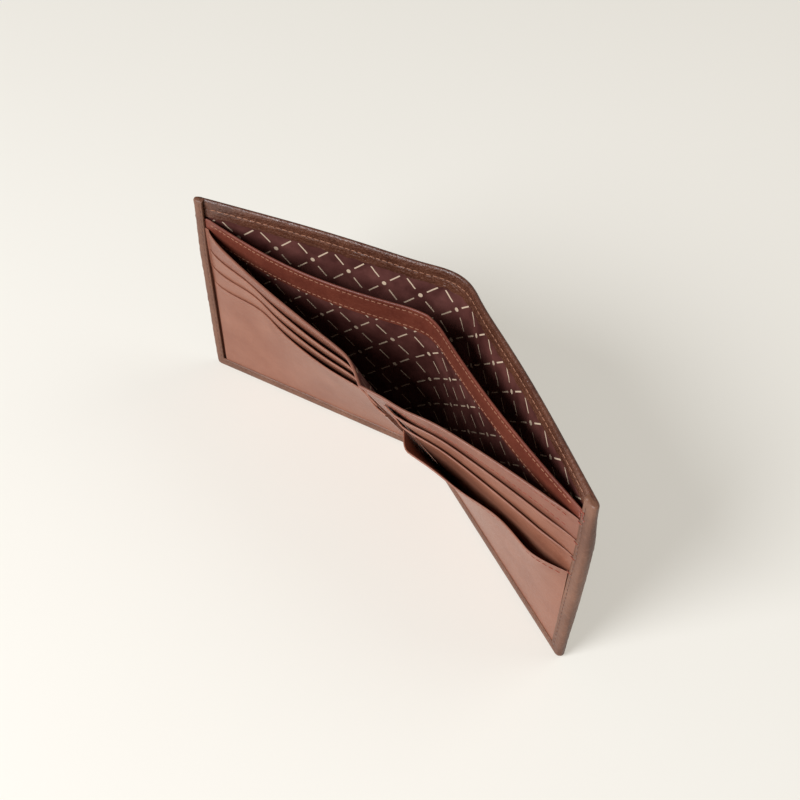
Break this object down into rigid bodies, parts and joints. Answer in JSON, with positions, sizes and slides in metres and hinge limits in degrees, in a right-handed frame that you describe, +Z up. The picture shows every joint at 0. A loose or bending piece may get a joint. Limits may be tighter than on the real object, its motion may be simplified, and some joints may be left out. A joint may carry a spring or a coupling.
{
  "type": "bifold wallet",
  "caption": "Leather bifold wallet standing half open, with card pockets on both inner halves, a divided note compartment, turned and stitched edges, and one fold.",
  "frame": {"origin": "foot of the fold, on the ground, where the inner faces of the two halves meet", "axes": "+Z up along the fold, +X to the right as seen from the card pockets, -Y towards the side the pockets face"},
  "size_m": [0.22, 0.0618, 0.095],
  "materials": {
    "cover_leather": "dark brown grained leather, satin",
    "inner_leather": "reddish tan smooth leather, satin",
    "band_leather": "reddish brown leather, satin",
    "lining": "plum brown lining cloth with a pale lattice, slight sheen",
    "board": "bonded fibre board, matte",
    "thread": "tan sewing thread"
  },
  "bodies": {
    "left_half": {"cover_left": "cover_leather", "turned_edge_left": "cover_leather", "top_hem_left": "cover_leather", "stiffener_left": "board", "cover_lining_left": "lining", "divider_left": "lining", "divider_band_left": "band_leather", "panel_lining_left": "lining", "inner_panel_left": "inner_leather", "card_pocket_left_upper": "inner_leather", "card_pocket_left_middle": "inner_leather", "card_pocket_left_lower": "inner_leather", "edge_stitches_left": "thread", "hem_stitches_left": "thread", "divider_stitches_left": "thread", "panel_stitches_left": "thread", "cover_spine": "cover_leather", "turned_edge_spine": "cover_leather", "top_hem_spine": "cover_leather", "cover_lining_spine": "lining", "hem_stitches_spine": "thread"},
    "right_half": {"cover_right": "cover_leather", "turned_edge_right": "cover_leather", "top_hem_right": "cover_leather", "stiffener_right": "board", "cover_lining_right": "lining", "divider_right": "lining", "divider_band_right": "band_leather", "panel_lining_right": "lining", "inner_panel_right": "inner_leather", "card_pocket_right_upper": "inner_leather", "card_pocket_right_middle": "inner_leather", "card_pocket_right_front": "inner_leather", "edge_stitches_right": "thread", "hem_stitches_right": "thread", "divider_stitches_right": "thread", "panel_stitches_right": "thread", "front_pocket_stitches": "thread", "corner_bartacks": "thread"}
  },
  "joints": [
    {"name": "main_fold", "type": "hinge", "parent": "left_half", "child": "right_half", "pos_m": [0, 0, 0], "axis": [0, 0, 1], "range_deg": [-140, 35], "deforming": ["cover_spine", "turned_edge_spine", "top_hem_spine", "cover_lining_spine", "hem_stitches_spine", "divider_left", "divider_right", "divider_band_left", "divider_band_right", "panel_lining_left", "panel_lining_right", "inner_panel_left", "inner_panel_right", "card_pocket_left_upper", "card_pocket_left_middle", "card_pocket_left_lower", "card_pocket_right_upper", "card_pocket_right_middle", "card_pocket_right_front", "divider_stitches_left", "divider_stitches_right", "panel_stitches_left", "panel_stitches_right", "front_pocket_stitches"]}
  ]
}
